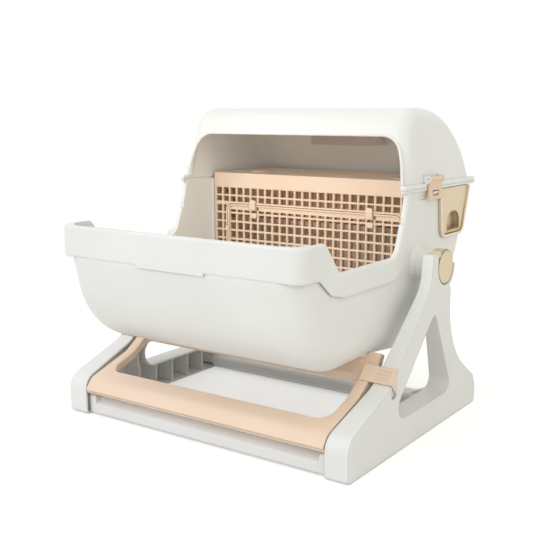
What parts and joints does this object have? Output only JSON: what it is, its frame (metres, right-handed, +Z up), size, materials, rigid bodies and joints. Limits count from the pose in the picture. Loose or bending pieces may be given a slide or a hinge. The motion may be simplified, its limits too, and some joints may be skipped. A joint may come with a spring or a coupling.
{
  "type": "tip-back litter box with drawer",
  "caption": "Hooded litter tub that tips back on an A-frame stand and sieves clumps into a pull-out side drawer.",
  "frame": {"origin": "on the floor, under the middle of the bounding box", "axes": "+X to the product's right-hand side (the drawer side), -Y to the front with the entry lip, +Z up"},
  "size_m": [0.52, 0.542, 0.484],
  "materials": {
    "white_frame": "fine matt moulded polypropylene, warm white",
    "white_basin": "satin moulded polypropylene, warm white",
    "white_hood": "satin moulded polypropylene, warm white",
    "white_rail": "moulded polypropylene, warm white",
    "peach_cradle": "moulded polypropylene, pale peach",
    "peach_grid": "moulded polypropylene, pale peach",
    "peach_flap": "moulded polypropylene, pale peach",
    "peach_drawer": "moulded polypropylene, sandy peach",
    "peach_trunnion": "moulded polypropylene, sandy peach",
    "peach_latch": "moulded polypropylene, pale peach",
    "grey_rubber": "soft matt rubber",
    "zinc_screw": "zinc plated steel",
    "steel_pin": "drawn steel"
  },
  "bodies": {
    "stand": {"side_frame_right": "white_frame", "side_frame_left": "white_frame", "front_crossbar": "white_frame", "rear_crossbar": "white_frame", "support_cradle": "peach_cradle", "foot_pads": "grey_rubber"},
    "drum": {"basin": "white_basin", "hood": "white_hood", "sieve_partition": "peach_grid", "flap_hinge_pins": "steel_pin", "drawer_rail_front": "white_rail", "drawer_rail_rear": "white_rail", "trunnion_right": "peach_trunnion", "trunnion_left": "peach_trunnion", "trunnion_screws": "zinc_screw", "latch_pins": "steel_pin"},
    "flap": {"sieve_flap": "peach_flap"},
    "drawer": {"drawer_tray": "peach_drawer", "drawer_front": "peach_drawer"},
    "latch_right": {"latch_right": "peach_latch"},
    "latch_left": {"latch_left": "peach_latch"}
  },
  "joints": [
    {"name": "drum_tilt", "type": "hinge", "parent": "stand", "child": "drum", "pos_m": [0, 0.064, 0.248], "axis": [-1, 0, 0], "range_deg": [0, 100]},
    {"name": "flap_swing", "type": "hinge", "parent": "drum", "child": "flap", "pos_m": [0, 0.0932, 0.314], "axis": [1, 0, 0], "range_deg": [0, 38]},
    {"name": "drawer_slide", "type": "slide", "parent": "drum", "child": "drawer", "axis": [-1, 0, 0], "range_m": [-0.38, 0]},
    {"name": "latch_right_swing", "type": "hinge", "parent": "drum", "child": "latch_right", "pos_m": [0.221, 0.1025, 0.377], "axis": [0, -1, 0], "range_deg": [0, 80]},
    {"name": "latch_left_swing", "type": "hinge", "parent": "drum", "child": "latch_left", "pos_m": [-0.221, 0.1025, 0.377], "axis": [0, 1, 0], "range_deg": [0, 80]}
  ]
}
